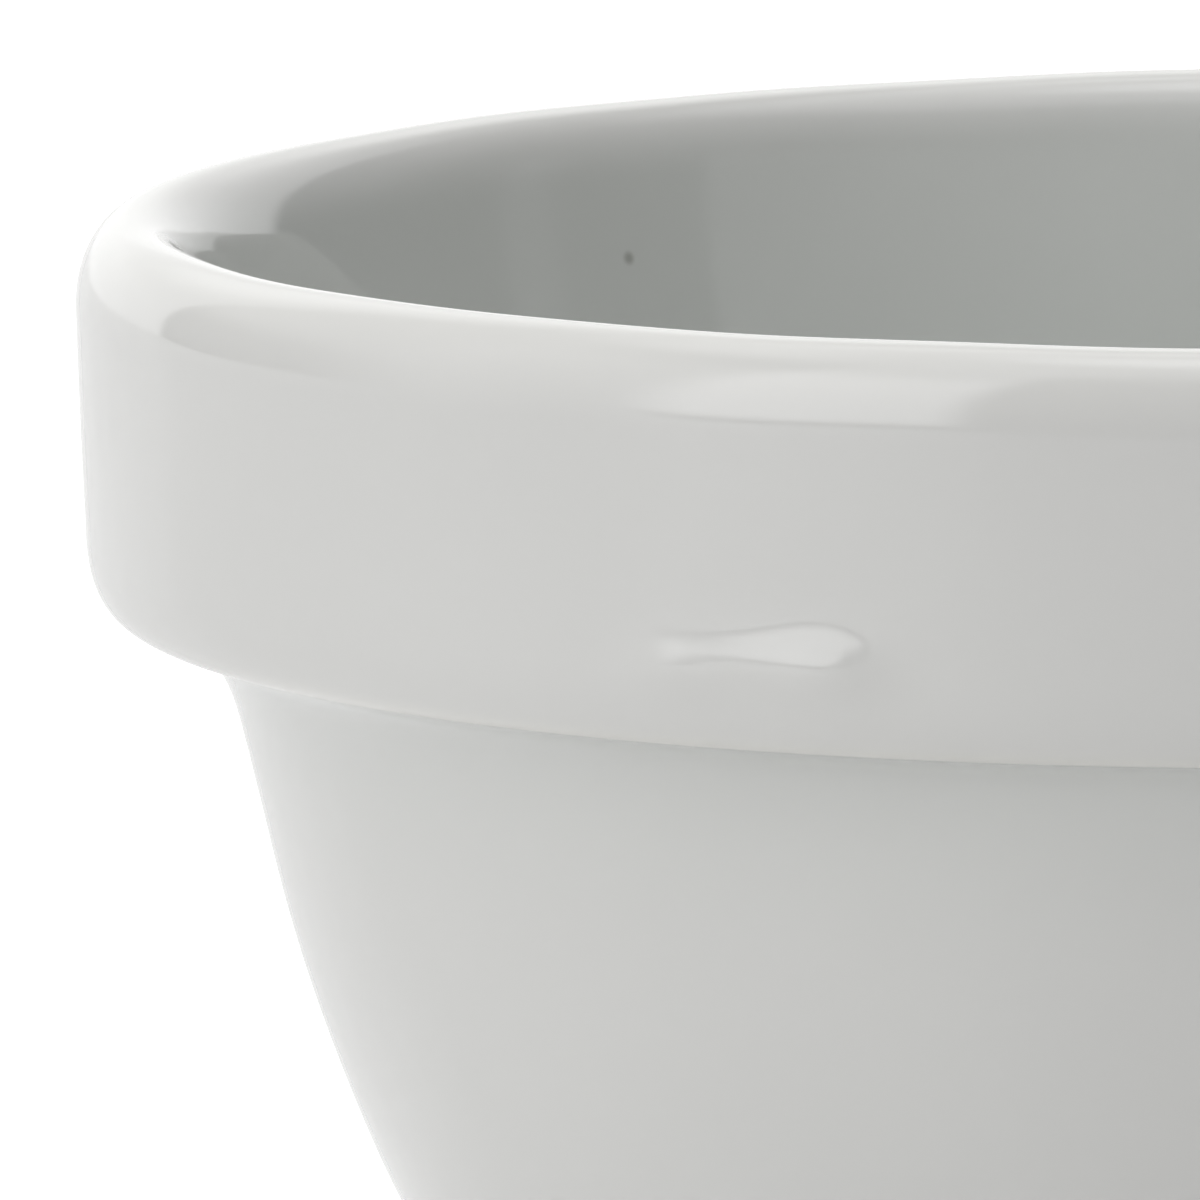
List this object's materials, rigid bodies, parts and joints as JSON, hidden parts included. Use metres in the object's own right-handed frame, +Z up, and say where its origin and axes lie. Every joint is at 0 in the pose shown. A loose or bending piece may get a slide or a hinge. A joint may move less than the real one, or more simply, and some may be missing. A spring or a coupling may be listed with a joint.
{
  "type": "stacking bowl",
  "caption": "Round glazed porcelain stacking bowl with a rolled lip, a deep collar whose stepped underside seats on the bowl below, a tapered wall and a foot ring.",
  "frame": {"origin": "on the table, at the centre of the foot ring", "axes": "+Z up the bowl's axis; the bowl is round, so +X and +Y are any two square directions"},
  "size_m": [0.13, 0.13, 0.07],
  "materials": {
    "porcelain": "bare fired clay, matt",
    "glaze": "smooth gloss, pale grey-green white"
  },
  "bodies": {
    "root": {"porcelain_body": "porcelain", "glaze_coat": "glaze", "base_glaze": "glaze"}
  },
  "joints": []
}
